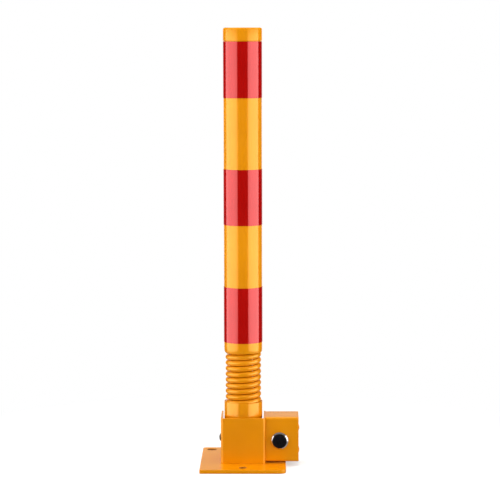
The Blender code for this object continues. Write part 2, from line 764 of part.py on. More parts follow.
def lock_plug(key_axis):
    """Plug the key turns, the cam on its back and the screw that holds the cam."""
    centre = (lock_x, 0, lock_z)
    front = bezel_front + SEAT_GAP
    back = barrel_end + SEAT_GAP
    plug = add_piece("lock_plug", rod(PLUG_RADIUS, front, back, "y", centre), "brass", centre, key_axis)
    half_width = KEYWAY_WIDTH / 2
    half_height = KEYWAY_HEIGHT / 2
    keyway = [
        (lock_x - half_width, lock_z - half_height),
        (lock_x + half_width, lock_z - half_height),
        (lock_x + half_width, lock_z + half_height),
        (lock_x - half_width, lock_z + half_height),
    ]
    add_form(plug, "keyway", prism("xz", keyway, front - KEYWAY_DEPTH, front + KEYWAY_DEPTH))
    screw_hole = CAM_SCREW_RADIUS + PIN_CLEARANCE
    hole_start = cam_back - CAM_SCREW_LENGTH
    add_form(plug, "plug_screw_hole", rod(screw_hole, hole_start, cam_back, "y", centre))

    outline = round_link((lock_x, lock_z), CAM_HUB_RADIUS, (cam_pin_x, cam_pin_z), CAM_TIP_RADIUS)
    cam = add_piece("lock_cam", prism("xz", outline, cam_front, cam_back), "zinc_steel", centre, key_axis)
    pin_middle = (cam_front + cam_back) / 2
    pin = rod(CAM_PIN_RADIUS, pin_middle, yoke_back + CAM_PIN_EXCESS, "y", (cam_pin_x, 0, cam_pin_z))
    add_form(cam, "cam_pin", pin, "UNION")
    cam_hole = rod(screw_hole, cam_front - CAM_THICKNESS, cam_back + CAM_THICKNESS, "y", centre)
    add_form(cam, "cam_hole", cam_hole)

    head_start = cam_back + SEAT_GAP
    shank_end = head_start + SEAT_GAP - CAM_SCREW_LENGTH
    profile = [
        (0, shank_end),
        (CAM_SCREW_RADIUS, shank_end),
        (CAM_SCREW_RADIUS, head_start),
        (CAM_SCREW_HEAD_RADIUS, head_start),
        (CAM_SCREW_HEAD_RADIUS, screw_head_back),
        (0, screw_head_back),
    ]
    add_piece("cam_screw", turned(profile, SMALL_FACETS, "y", centre), "zinc_steel", centre, key_axis)


def dust_cover(cover_axis):
    """Round cover that hangs from a flush rivet in the bezel and swings off the keyhole."""
    edge = DUST_COVER_EDGE
    profile = [
        (0, dust_cover_front),
        (DUST_COVER_RADIUS - edge, dust_cover_front),
        (DUST_COVER_RADIUS, dust_cover_front + edge),
        (DUST_COVER_RADIUS, dust_cover_back),
        (0, dust_cover_back),
    ]
    rivet_axis = (lock_x, 0, rivet_z)
    disc = turned(profile, LOCK_FACETS, "y", (lock_x, 0, lock_z))
    cover = add_piece("dust_cover", disc, "black_plastic", rivet_axis, cover_axis)
    hole = rivet_profile(PIN_CLEARANCE, dust_cover_front - PIN_CLEARANCE, dust_cover_back + SEAT_GAP)
    add_form(cover, "dust_cover_hole", turned(hole, SMALL_FACETS, "y", rivet_axis))
    rivet = rivet_profile(0, dust_cover_front, bezel_front + RIVET_DEPTH)
    add_piece("dust_cover_rivet", turned(rivet, SMALL_FACETS, "y", rivet_axis), "black_plastic", rivet_axis)


def rivet_profile(grow, front, back):
    """Section of the countersunk rivet, or of its hole when grown by a clearance."""
    cone_end = dust_cover_front + RIVET_HEAD_RADIUS - RIVET_RADIUS
    return [
        (0, front),
        (RIVET_HEAD_RADIUS + grow, front),
        (RIVET_HEAD_RADIUS + grow, dust_cover_front + DUST_COVER_EDGE / 2),
        (RIVET_RADIUS + grow, cone_end + DUST_COVER_EDGE / 2),
        (RIVET_RADIUS + grow, back),
        (0, back),
    ]


def lock_bolt(bolt_axis):
    """Round bolt with a slotted yoke that the cam's pin drives, and the block that guides it."""
    centre = (0, 0, bolt_z)
    profile = [
        (0, bolt_tip),
        (BOLT_RADIUS - BOLT_CHAMFER, bolt_tip),
        (BOLT_RADIUS, bolt_tip + BOLT_CHAMFER),
        (BOLT_RADIUS, bolt_tail),
        (0, bolt_tail),
    ]
    bar = turned(profile, SMALL_FACETS, "x", centre)
    bolt = add_piece("lock_bolt", bar, "zinc_steel", centre, bolt_axis)
    slot_half = CAM_PIN_RADIUS + SLOT_CLEARANCE
    plate_half = slot_half + YOKE_WALL
    slot_low = cam_pin_z - slot_half
    slot_high = lock_z + CAM_THROW + slot_half
    neck_left = cam_pin_x - plate_half
    neck_right = neck_left + YOKE_NECK_WIDTH
    outline = [
        (cam_pin_x - plate_half, slot_low - YOKE_WALL),
        (cam_pin_x + plate_half, slot_low - YOKE_WALL),
        (cam_pin_x + plate_half, slot_high + YOKE_WALL),
        (neck_right, slot_high + YOKE_WALL),
        (neck_right, bolt_z),
        (neck_left, bolt_z),
    ]
    add_form(bolt, "bolt_yoke", prism("xz", outline, yoke_front, yoke_back), "UNION")
    slot_ends = ((cam_pin_x, slot_low + slot_half), (cam_pin_x, slot_high - slot_half))
    slot = round_link(slot_ends[0], slot_half, slot_ends[1], slot_half)
    slot_form = prism("xz", slot, yoke_front - YOKE_THICKNESS, yoke_back + YOKE_THICKNESS)
    add_form(bolt, "yoke_slot", slot_form)

    guide_left = neck_right + GUIDE_GAP
    guide_top = housing_top - HOUSING_SHEET - SEAT_GAP
    section = [
        (-GUIDE_HALF_WIDTH, bolt_z - GUIDE_HALF_WIDTH),
        (GUIDE_HALF_WIDTH, bolt_z - GUIDE_HALF_WIDTH),
        (GUIDE_HALF_WIDTH, guide_top),
        (-GUIDE_HALF_WIDTH, guide_top),
    ]
    block = prism("yz", section, guide_left, guide_left + GUIDE_LENGTH)
    guide = add_piece("bolt_guide", block, "yellow_paint")
    add_form(guide, "guide_bore", rod(BOLT_RADIUS + PIN_CLEARANCE, bolt_tip, 2 * bolt_tail, "x", centre))


def main():
    clear_scene()
    fold_axis = add_axis("post_fold_axis", (0, 0, pivot_z))
    flex_low_axis = add_axis("spring_flex_low_axis", (0, 0, flex_low_z), fold_axis)
    flex_high_axis = add_axis("spring_flex_high_axis", (0, 0, flex_high_z), flex_low_axis)
    key_axis = add_axis("key_turn_axis", (lock_x, 0, lock_z))
    bolt_axis = add_axis("bolt_slide_axis", (0, 0, bolt_z))
    cover_axis = add_axis("dust_cover_axis", (lock_x, 0, rivet_z))
    base_plate()
    hinge_bracket()
    bracket_weld()
    pivot_pin()
    lower_stub(fold_axis)
    spring_seat("lower_spring_seat", spring_low - SEAT_GAP, 1, fold_axis)
    coil_spring(flex_low_axis)
    post_tube(flex_high_axis)
    spring_seat("upper_spring_seat", spring_high + SEAT_GAP, -1, flex_high_axis)
    top_cap(flex_high_axis)
    reflective_tapes(flex_high_axis)
    lock_housing()
    lock_body()
    lock_plug(key_axis)
    dust_cover(cover_axis)
    lock_bolt(bolt_axis)


main()
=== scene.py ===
"""Looks for the fold-down parking post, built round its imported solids.

Metres, in the frame of the solids: +Z up the post, and the camera on the -Y side.
"""

import math

import bmesh
import bpy
from mathutils import Matrix, Vector, noise

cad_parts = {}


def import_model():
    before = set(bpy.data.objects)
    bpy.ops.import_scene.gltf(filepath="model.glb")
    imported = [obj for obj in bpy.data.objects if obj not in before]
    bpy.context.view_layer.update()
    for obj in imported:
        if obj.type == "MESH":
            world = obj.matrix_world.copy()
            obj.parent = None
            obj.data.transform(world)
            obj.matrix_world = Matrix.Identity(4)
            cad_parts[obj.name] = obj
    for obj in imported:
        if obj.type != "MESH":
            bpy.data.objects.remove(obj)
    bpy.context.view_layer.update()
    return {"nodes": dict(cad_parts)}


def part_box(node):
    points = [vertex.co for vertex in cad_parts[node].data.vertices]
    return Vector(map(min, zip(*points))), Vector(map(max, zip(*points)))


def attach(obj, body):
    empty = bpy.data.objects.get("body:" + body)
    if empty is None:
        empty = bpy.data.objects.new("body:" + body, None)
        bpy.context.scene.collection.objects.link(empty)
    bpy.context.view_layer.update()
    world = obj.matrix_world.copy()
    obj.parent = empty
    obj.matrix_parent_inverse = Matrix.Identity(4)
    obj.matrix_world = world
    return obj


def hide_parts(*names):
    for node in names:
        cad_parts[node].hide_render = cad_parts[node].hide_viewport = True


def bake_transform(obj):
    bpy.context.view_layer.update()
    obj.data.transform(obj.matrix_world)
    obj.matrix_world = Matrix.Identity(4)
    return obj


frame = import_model()

# Edges that turn by more than this are shaded sharp
SMOOTH_ANGLE = math.radians(32)

# How finely round shapes are drawn
ROUND_FACETS = 128
SMALL_FACETS = 64
RIVET_FACETS = 48
SCREW_FACETS = 32
FLOOR_FACETS = 96
EDGE_STEPS = 3
CORNER_STEPS = 8
BEND_STEPS = 10
LIP_STEPS = 12

# Sizes that a solid's box doesn't give
TUBE_WALL = 0.0015
SHEET = 0.003
SHEET_BEND = 0.005
CHEEK_CORNER = 0.012
HOUSING_SHEET = 0.0025
HOUSING_BEND = 0.004
HOLE_RADIUS = 0.00625
SLOT_LENGTH = 0.016
WIRE_RADIUS = 0.0042
COIL_PITCH = 0.009
COIL_BELOW_POST = 0.0061
PIN_RADIUS = 0.005
PIN_CLEARANCE = 0.0003
BARREL_RADIUS = 0.011
PLUG_RADIUS = 0.006
PAINT_EDGE = 0.0004
JOINT = 0.00005


# Outlines, and the solids that are drawn from them


def arc(centre, radius, start, end, steps):
    """Points along an arc, from angle start to angle end in radians."""
    points = []
    for step in range(steps + 1):
        angle = start + (end - start) * step / steps
        points.append((centre[0] + radius * math.cos(angle), centre[1] + radius * math.sin(angle)))
    return points


def circle(centre, radius, facets):
    """A closed outline, counter-clockwise."""
    return arc(centre, radius, 0, 2 * math.pi, facets)[:-1]


def rounded(corners, steps, closed=True):
    """A path through corners given as (x, y, radius). An open path keeps its two ends."""
    points = []
    count = len(corners)
    for index, (x, y, radius) in enumerate(corners):
        end = not closed and index in (0, count - 1)
        if end or radius <= 0:
            points.append((x, y))
            continue
        here = Vector((x, y))
        to_before = (Vector(corners[index - 1][:2]) - here).normalized()
        to_after = (Vector(corners[(index + 1) % count][:2]) - here).normalized()
        half = to_before.angle(to_after) / 2
        centre = here + (to_before + to_after).normalized() * radius / math.sin(half)
        start = here + to_before * radius / math.tan(half) - centre
        end = here + to_after * radius / math.tan(half) - centre
        first = math.atan2(start.y, start.x)
        turn = (math.atan2(end.y, end.x) - first + math.pi) % (2 * math.pi) - math.pi
        points.extend(arc(centre, radius, first, first + turn, steps))
    return points


def rectangle(left, bottom, right, top, radius, steps):
    """A closed outline with four equal round corners."""
    spots = ((left, bottom), (right, bottom), (right, top), (left, top))
    return rounded([(x, y, radius) for x, y in spots], steps)


def slot_outline(centre, length, radius, facets):
    """A slot, long in u, counter-clockwise."""
    straight = length / 2 - radius
    right = arc((centre[0] + straight, centre[1]), radius, -math.pi / 2, math.pi / 2, facets // 2)
    left = arc((centre[0] - straight, centre[1]), radius, math.pi / 2, 3 * math.pi / 2, facets // 2)
    return right + left


def inset(points, distance):
    """A closed counter-clockwise outline moved inward by a distance."""
    moved = []
    count = len(points)
    for index, point in enumerate(points):
        here = Vector(point)
        before = (here - Vector(points[index - 1])).normalized()
        after = (Vector(points[(index + 1) % count]) - here).normalized()
        normal = Vector((-before.y, before.x))
        mean = (normal + Vector((-after.y, after.x))).normalized()
        moved.append(tuple(here + mean * distance / mean.dot(normal)))
    return moved


def rod(radius, start, end):
    """The profile of a plain cylinder."""
    return [(0, start), (radius, start), (radius, end), (0, end)]


def dome(radius, start, rise):
    """Part of a profile: a low dome, from its rim to near its middle."""
    return [(radius * math.cos(t), start + rise * math.sin(t)) for t in (0, 0.3, 0.6, 0.9, 1.2)]


def join_rings(bm, ring, following):
    """Faces between two rings of as many points, or between a ring and one point."""
    count = max(len(ring), len(following))
    for index in range(count):
        after = (index + 1) % count
        corners = []
        for row, picks in ((ring, (index, after)), (following, (after, index))):
            for pick in picks:
                vert = row[pick] if len(row) > 1 else row[0]
                if vert not in corners:
                    corners.append(vert)
        bm.faces.new(corners)


def sweep(bm, rings):
    """Skins rings of as many points each, and closes the two ends."""
    for ring, following in zip(rings, rings[1:]):
        join_rings(bm, ring, following)
    bm.faces.new(rings[0])
    bm.faces.new(rings[-1])


def slab(outline, holes, low, high, edge, steps=EDGE_STEPS):
    """A plate in u and v, from w = low to high, with holes and rounded edges."""
    bm = bmesh.new()
    levels = []
    for step in range(steps + 1):
        angle = math.pi / 2 * step / steps
        levels.append((edge * (1 - math.sin(angle)), low + edge * (1 - math.cos(angle))))
    levels += [(distance, low + high - height) for distance, height in reversed(levels)]
    ends = ([], [])
    for loop, sign in [(outline, 1)] + [(hole, -1) for hole in holes]:
        rings = []
        for distance, height in levels:
            moved = inset(loop, sign * distance)
            rings.append([bm.verts.new((u, v, height)) for u, v in moved])
        for ring, following in zip(rings, rings[1:]):
            join_rings(bm, ring, following)
        for end, ring in zip(ends, (rings[0], rings[-1])):
            for index, vert in enumerate(ring):
                end.append(bm.edges.get((vert, ring[(index + 1) % len(ring)])))
    for end in ends:
        bmesh.ops.triangle_fill(bm, edges=end, use_beauty=True)
    return bm


def lathe(profile, axis="z", centre=(0, 0, 0), facets=ROUND_FACETS, closed=True):
    """A turned solid. The profile lists (radius, place along the axis) round its section.

    A closed profile joins its end to its start. One that isn't has both on the axis.
    """
    bm = bmesh.new()
    rings = []
    for radius, along in profile:
        count = facets if radius > 0 else 1
        ring = []
        for index in range(count):
            angle = 2 * math.pi * index / count
            ring.append(bm.verts.new((radius * math.cos(angle), radius * math.sin(angle), along)))
        rings.append(ring)
    pairs = list(zip(rings, rings[1:]))
    if closed:
        pairs.append((rings[-1], rings[0]))
    for ring, following in pairs:
        if len(ring) > 1 or len(following) > 1:
            join_rings(bm, ring, following)
    turns = {
        "z": Matrix.Identity(4),
        "x": Matrix.Rotation(math.radians(90), 4, "Y"),
        "y": Matrix.Rotation(math.radians(-90), 4, "X"),
    }
    bm.transform(Matrix.Translation(centre) @ turns[axis])
    return bm


def move(bm, place):
    """Puts every point where place(u, v, w) says."""
    for vert in bm.verts:
        vert.co = Vector(place(*vert.co))


def slice_at(bm, point, normal, **options):
    """Adds edges where the solid crosses a plane."""
    everything = list(bm.verts) + list(bm.edges) + list(bm.faces)
    return bmesh.ops.bisect_plane(bm, geom=everything, plane_co=point, plane_no=normal, **options)


# Materials


class Tree:
    """A node tree to write in."""

    def __init__(self, owner):
        owner.use_nodes = True
        self.nodes = owner.node_tree.nodes
        self.links = owner.node_tree.links

    def feed(self, socket, value):
        """Gives a socket a value, or another node's output."""
        if isinstance(value, bpy.types.NodeSocket):
            self.links.new(value, socket)
        else:
            socket.default_value = value

    def node(self, kind, *inputs, **values):
        """A new node. Unnamed values go to its inputs in order, named ones to an input or setting."""
        made = self.nodes.new("ShaderNode" + kind)
        for key, value in values.items():
            name = key.replace("_", " ")
            if name in made.inputs:
                self.feed(made.inputs[name], value)
            else:
                setattr(made, key, value)
        for socket, value in zip(made.inputs, inputs):
            self.feed(socket, value)
        return made

    def math(self, operation, first, second):
        """Two numbers made into one."""
        return self.node("Math", first, second, operation=operation).outputs["Value"]

    def remap(self, source, start, end, low, high, kind="LINEAR"):
        """The source's range from start to end becomes low to high."""
        made = self.node("MapRange", interpolation_type=kind, Value=source)
        for name, value in (("From Min", start), ("From Max", end), ("To Min", low), ("To Max", high)):
            made.inputs[name].default_value = value
        return made.outputs["Result"]


class Shader(Tree):
    """A material whose colour, roughness and relief follow noise over the object."""

    def __init__(self, name):
        self.material = bpy.data.materials.new(name)
        super().__init__(self.material)
        self.principled = self.nodes["Principled BSDF"]
        self.place = self.node("TexCoord").outputs["Object"]

    def set(self, **values):
        """Values that are the same all over the surface."""
        for key, value in values.items():
            self.principled.inputs[key.replace("_", " ")].default_value = value

    def grain(self, scale, detail, stretch=(1, 1, 1)):
        """A noise field over the object, about 0.5 on average."""
        source = self.place
        if stretch != (1, 1, 1):
            source = self.node("Mapping", Vector=source, Scale=stretch).outputs["Vector"]
        return self.node("TexNoise", Vector=source, Scale=scale, Detail=detail).outputs["Fac"]

    def spread(self, field, low, high):
        """The field as a number between low and high. Its rare extremes are cut off."""
        return self.remap(field, 0.35, 0.65, low, high)

    def tint(self, field, first, second):
        """A colour between two, by the field."""
        mix = self.node("Mix", data_type="RGBA", A=(*first, 1), B=(*second, 1))
        self.feed(mix.inputs["Factor"], self.spread(field, 0, 1))
        return mix.outputs["Result"]

    def relief(self, field, depth, strength, below=None):
        """A bump from the field, on top of another one if it is given."""
        bump = self.node("Bump", Height=field, Distance=depth, Strength=strength)
        if below is not None:
            self.feed(bump.inputs["Normal"], below)
        return bump.outputs["Normal"]

    def finish(self, colour, roughness, normal):
        """Links what varies over the surface, and gives the material."""
        for name, source in (("Base Color", colour), ("Roughness", roughness), ("Normal", normal)):
            self.feed(self.principled.inputs[name], source)
        return self.material


def powder_coat():
    """Glossy yellow powder coat: slight orange peel and slow changes of tone."""
    shader = Shader("yellow_powder_coat")
    colour = shader.tint(shader.grain(14, 3), (0.765, 0.266, 0.0005), (0.826, 0.293, 0.0012))
    roughness = shader.spread(shader.grain(90, 2), 0.15, 0.21)
    waves = shader.relief(shader.grain(110, 1), 0.0004, 0.03)
    peel = shader.relief(shader.grain(620, 2), 0.00012, 0.05, waves)
    shader.set(IOR=1.92, Metallic=0.20, Specular_Tint=(1.0, 0.95, 0.5, 1.0))
    return shader.finish(colour, roughness, peel)


def reflective_film():
    """Red reflective film: a clear face over fine beads."""
    shader = Shader("red_reflective_film")
    colour = shader.tint(shader.grain(18, 2), (0.500, 0.0028, 0.0015), (0.555, 0.0040, 0.0022))
    roughness = shader.spread(shader.grain(2400, 1), 0.07, 0.13)
    beads = shader.relief(shader.grain(1500, 1), 0.00005, 0.03)
    shader.set(IOR=1.80, Metallic=0.35, Coat_Weight=0.25, Coat_Roughness=0.05, Coat_IOR=1.8)
    return shader.finish(colour, roughness, beads)


def chrome():
    """Polished chrome with faint handling marks."""
    shader = Shader("polished_chrome")
    colour = shader.tint(shader.grain(90, 2), (0.70, 0.69, 0.68), (0.79, 0.78, 0.77))
    roughness = shader.spread(shader.grain(260, 4, (1, 1, 4)), 0.08, 0.16)
    marks = shader.relief(shader.grain(160, 1), 0.0001, 0.04)
    shader.set(Metallic=1.0)
    return shader.finish(colour, roughness, marks)


def zinc_steel():
    """Zinc plated steel with a cloudy passivation and drawn marks along X."""
    shader = Shader("zinc_plated_steel")
    colour = shader.tint(shader.grain(130, 4), (0.40, 0.39, 0.36), (0.56, 0.55, 0.50))
    drawn = shader.grain(900, 3, (0.08, 1, 1))
    roughness = shader.spread(drawn, 0.26, 0.42)
    shader.set(Metallic=1.0)
    return shader.finish(colour, roughness, shader.relief(drawn, 0.00006, 0.2))


def peened_steel():
    """Bare hammered steel, dull and slightly brown."""
    shader = Shader("peened_steel")
    colour = shader.tint(shader.grain(420, 4), (0.10, 0.075, 0.045), (0.27, 0.235, 0.17))
    roughness = shader.spread(shader.grain(700, 3), 0.35, 0.6)
    dents = shader.relief(shader.grain(800, 3), 0.0002, 0.4)
    shader.set(Metallic=0.9)
    return shader.finish(colour, roughness, dents)


def turned_brass():
    """Machined brass with fine turning marks and a light tarnish."""
    shader = Shader("machined_brass")
    colour = shader.tint(shader.grain(200, 4), (0.50, 0.33, 0.11), (0.66, 0.47, 0.18))
    roughness = shader.spread(shader.grain(1300, 2, (1, 3, 1)), 0.22, 0.36)
    marks = shader.relief(shader.grain(1600, 1, (1, 3, 1)), 0.00004, 0.2)
    shader.set(Metallic=1.0)
    return shader.finish(colour, roughness, marks)


def hole_wall_painted_shade():
    """The walls of the anchor holes in a dark brown, rough and pitted: painted shade inside the holes.
    """
    shader = Shader("hole_wall_painted_shade")
    colour = shader.tint(shader.grain(500, 4), (0.24, 0.072, 0.0015), (0.42, 0.135, 0.0030))
    roughness = shader.spread(shader.grain(700, 3), 0.5, 0.8)
    pits = shader.relief(shader.grain(900, 3), 0.0001, 0.3)
    return shader.finish(colour, roughness, pits)


def black_plastic():
    """Moulded black plastic with a faint grain."""
    shader = Shader("black_plastic")
    colour = shader.tint(shader.grain(60, 3), (0.0028, 0.0030, 0.0045), (0.0050, 0.0052, 0.0075))
    roughness = shader.spread(shader.grain(500, 3), 0.16, 0.26)
    grain = shader.relief(shader.grain(1500, 2), 0.00004, 0.25)
    shader.set(IOR=1.7)
    return shader.finish(colour, roughness, grain)


PAINT = powder_coat()
FILM = reflective_film()
CHROME = chrome()
ZINC = zinc_steel()
PEENED = peened_steel()
BRASS = turned_brass()
HOLE_WALL_SHADE = hole_wall_painted_shade()
PLASTIC = black_plastic()


# Pieces


def add_object(name, bm):
    """Puts a drawn solid into the scene and frees its drawing."""
    mesh = bpy.data.meshes.new(name)
    bm.to_mesh(mesh)
    bm.free()
    made = bpy.data.objects.new(name, mesh)
    bpy.context.scene.collection.objects.link(made)
    return made


def smooth_over(mesh):
    """Shades smoothly across all but the sharp edges."""
    mesh.shade_smooth()
    mesh.set_sharp_from_angle(angle=SMOOTH_ANGLE)


def add_piece(name, bm, look, slot, *nodes):
    """Makes a piece that stands for CAD nodes. It rides on nothing yet."""
    bmesh.ops.recalc_face_normals(bm, faces=bm.faces)
    piece = add_object(name, bm)
    smooth_over(piece.data)
    piece.data.materials.append(look)
    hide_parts(*nodes)
    return piece


def flatten_shading(piece):
    """Lets large flat faces keep a flat look beside their rounded edges."""
    modifier = piece.modifiers.new("flat_faces", "WEIGHTED_NORMAL")
    modifier.keep_sharp = True
    modifier.weight = 100


def cut(piece, *forms):
    """Cuts forms out of a piece and keeps only the result."""
    made = []
    for bm in forms:
        bmesh.ops.recalc_face_normals(bm, faces=bm.faces)
        form = add_object("cutter", bm)
        modifier = piece.modifiers.new("cut", "BOOLEAN")
        modifier.solver = "EXACT"
        modifier.object = form
        made.append(form)
    bpy.context.view_layer.update()
    shown = piece.evaluated_get(bpy.context.evaluated_depsgraph_get())
    result = bpy.data.meshes.new_from_object(shown)
    piece.modifiers.clear()
    old = piece.data
    piece.data = result
    piece.data.name = piece.name
    bpy.data.meshes.remove(old)
    for form in made:
        mesh = form.data
        bpy.data.objects.remove(form)
        bpy.data.meshes.remove(mesh)
    smooth_over(piece.data)


def middle(node):
    """The centre of a solid's box."""
    low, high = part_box(node)
    return (low + high) / 2


def size(node):
    """The lengths of a solid's box."""
    low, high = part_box(node)
    return high - low


tube_radius = size("post_tube").x / 2
tube_bore = tube_radius - TUBE_WALL
pivot_z = middle("pivot_pin").z
pivot_axis = (0, 0, pivot_z)
bolt_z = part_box("lock_bolt")[1].z - PIN_RADIUS
lock_centre = middle("lock_body")
lock_axis = (lock_centre.x, 0, lock_centre.z)
rivet_axis = (middle("dust_cover_rivet").x, 0, middle("dust_cover_rivet").z)


def base_plate():
    """Anchor plate with a round hole in front and two slots behind."""
    low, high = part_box("base_plate")
    edge = 0.0007
    sharp_corner, front_corner, back_corner = 0.002, 0.010, 0.005
    outline = rounded(
        [
            (low.x, low.y, sharp_corner),
            (high.x, low.y, front_corner),
            (high.x, high.y, back_corner),
            (low.x, high.y, back_corner),
        ],
        CORNER_STEPS,
    )
    hole_from_front, slot_from_side, slot_from_back = 0.0175, 0.0145, 0.0165
    spots = [
        (0, low.y + hole_from_front),
        (low.x + slot_from_side, high.y - slot_from_back),
        (high.x - slot_from_side, high.y - slot_from_back),
    ]
    holes = [circle(spots[0], HOLE_RADIUS, SMALL_FACETS)]
    holes += [slot_outline(spot, SLOT_LENGTH, HOLE_RADIUS, SMALL_FACETS) for spot in spots[1:]]
    bm = slab(outline, holes, low.z, high.z, edge)
    plate = add_piece("base_plate_coated", bm, PAINT, "yellow_paint", "base_plate")
    # Second material: painted shade, a dark brown on the walls of the anchor holes
    plate.data.materials.append(HOLE_WALL_SHADE)
    wall_reach = SLOT_LENGTH / 2 + 0.0003  # past the far end of a slot
    for face in plate.data.polygons:
        reach = min((face.center.xy - Vector(spot)).length for spot in spots)
        if reach < wall_reach and abs(face.normal.z) < 0.5:
            face.material_index = 1
    flatten_shading(plate)
    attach(plate, "base")


def hinge_bracket():
    """The bracket's flat pattern, bent to a U along its outer face. Its foot meets the plate."""
    low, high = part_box("hinge_bracket")
    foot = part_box("base_plate")[1].z + JOINT
    side = high.y - low.y - SHEET_BEND
    front = high.x - low.x - 2 * SHEET_BEND
    turn = SHEET_BEND * math.pi / 2
    length = 2 * side + front + 2 * turn
    outline = rounded(
        [
            (0, foot, 0),
            (length, foot, 0),
            (length, high.z, CHEEK_CORNER),
            (0, high.z, CHEEK_CORNER),
        ],
        steps=16,
    )
    holes = []
    for spot in ((high.y, pivot_z), (length - high.y, pivot_z), (length - high.y, bolt_z)):
        holes.append(circle(spot, PIN_RADIUS + PIN_CLEARANCE, SMALL_FACETS))
    bm = slab(outline, holes, 0, SHEET, PAINT_EDGE)
    for start in (side, side + turn + front):
        for step in range(BEND_STEPS + 1):
            slice_at(bm, (start + turn * step / BEND_STEPS, 0, 0), (1, 0, 0), dist=1e-7)

    def bend(u, v, w):
        """Flat pattern to space: u runs from the left cheek's back edge round to the right one's."""
        mirrored = u > length / 2
        if mirrored:
            u = length - u
        if u <= side:
            x, y = low.x + w, high.y - u
        elif u >= side + turn:
            x, y = low.x + SHEET_BEND + u - side - turn, low.y + w
        else:
            angle = math.pi + (u - side) / SHEET_BEND
            reach = SHEET_BEND - w
            x = low.x + SHEET_BEND + reach * math.cos(angle)
            y = low.y + SHEET_BEND + reach * math.sin(angle)
        return (low.x + high.x - x if mirrored else x, y, v)

    move(bm, bend)
    bracket = add_piece("hinge_bracket_coated", bm, PAINT, "yellow_paint", "hinge_bracket")
    flatten_shading(bracket)
    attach(bracket, "base")


def bracket_weld():
    """A weld bead with ripples, along the inside of the bracket's foot."""
    low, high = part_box("bracket_weld")
    leg = high.z - low.z
    corner, station, bead_steps = 0.002, 0.0005, 8
    ripple_pitch, noise_scale = 0.0021, 160
    path = rounded(
        [
            (low.x, high.y, 0),
            (low.x, low.y, corner),
            (high.x, low.y, corner),
            (high.x, high.y, 0),
        ],
        steps=6,
        closed=False,
    )
    stations = []
    for first, second in zip(path, path[1:]):
        reach = (Vector(second) - Vector(first)).length
        count = max(1, round(reach / station))
        for step in range(count):
            stations.append(Vector(first).lerp(Vector(second), step / count))
    stations.append(Vector(path[-1]))
    bm = bmesh.new()
    rows = []
    travelled = 0
    for index, spot in enumerate(stations):
        before = stations[max(index - 1, 0)]
        after = stations[min(index + 1, len(stations) - 1)]
        along = (after - before).normalized()
        inward = Vector((-along.y, along.x))
        travelled += (spot - before).length
        wave = abs(math.sin(math.pi * travelled / ripple_pitch))
        uneven = noise.noise((travelled * noise_scale, 0, 0))
        # How much of its leg the bead fills here, with ripples and some unevenness
        swell = 0.86 + 0.10 * wave + 0.05 * uneven
        row = []
        for step in range(bead_steps + 1):
            angle = math.pi / 2 * step / bead_steps
            bulge = leg * swell * (0.80 + 0.20 * math.sin(2 * angle))
            x, y = spot + inward * bulge * math.cos(angle)
            row.append(bm.verts.new((x, y, low.z + bulge * math.sin(angle))))
        row.append(bm.verts.new((spot.x, spot.y, low.z)))
        rows.append(row)
    sweep(bm, rows)
    weld = add_piece("bracket_weld_bead", bm, PAINT, "yellow_paint", "bracket_weld")
    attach(weld, "base")


def pivot_pin():
    """Hinge pin. Its outer end is hammered over and left bare."""
    low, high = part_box("pivot_pin")
    cheek_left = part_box("hinge_bracket")[0].x - PIN_CLEARANCE
    cheek_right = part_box("hinge_bracket")[1].x + PIN_CLEARANCE
    peened_radius, peened_rim, peened_rise = 0.0058, 0.001, 0.002
    head_radius, head_rim, head_rise = 0.0075, 0.0012, 0.0023
    dent_from, dent_depth, noise_scale = 0.0004, 0.00035, 900
    profile = [(0, low.x)]
    for t in (0.3, 0.6, 0.9, 1.2, 1.5):
        along = cheek_left - peened_rim - peened_rise * math.cos(t)
        profile.append((peened_radius * math.sin(t), along))
    profile += [(peened_radius, cheek_left), (PIN_RADIUS, cheek_left)]
    profile += [(PIN_RADIUS, cheek_right), (head_radius, cheek_right)]
    profile += dome(head_radius, cheek_right + head_rim, head_rise)
    profile += [(0, high.x)]
    bm = lathe(profile, "x", pivot_axis, SMALL_FACETS, closed=False)
    for vert in bm.verts:
        if vert.co.x < cheek_left - dent_from:
            vert.co.x += noise.noise(vert.co * noise_scale) * dent_depth
    pin = add_piece("pivot_pin_peened", bm, PEENED, "zinc_steel", "pivot_pin")
    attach(pin, "base")


def stub_and_sleeve():
    """Lower tube, cut for the sleeve that crosses it and for the bolt, and the sleeve."""
    low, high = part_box("lower_stub")
    edge, bolt_clearance, beyond = 0.0003, 0.0005, 0.06
    profile = rectangle(tube_bore, low.z, tube_radius, high.z, edge, EDGE_STEPS)
    stub = add_piece("lower_stub_coated", lathe(profile), PAINT, "yellow_paint", "lower_stub")
    sleeve_radius = size("pivot_sleeve").z / 2
    across = rod(sleeve_radius + PIN_CLEARANCE, -beyond, beyond)
    strike = rod(PIN_RADIUS + bolt_clearance, 0, beyond)
    cut(
        stub,
        lathe(across, "x", pivot_axis, SMALL_FACETS, closed=False),
        lathe(strike, "x", (0, 0, bolt_z), SMALL_FACETS, closed=False),
    )
    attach(stub, "stub")

    low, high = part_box("pivot_sleeve")
    bore = PIN_RADIUS + PIN_CLEARANCE
    profile = rectangle(bore, low.x, sleeve_radius, high.x, edge, EDGE_STEPS)
    bm = lathe(profile, "x", pivot_axis, SMALL_FACETS)
    sleeve = add_piece("pivot_sleeve_coated", bm, PAINT, "yellow_paint", "pivot_sleeve")
    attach(sleeve, "stub")


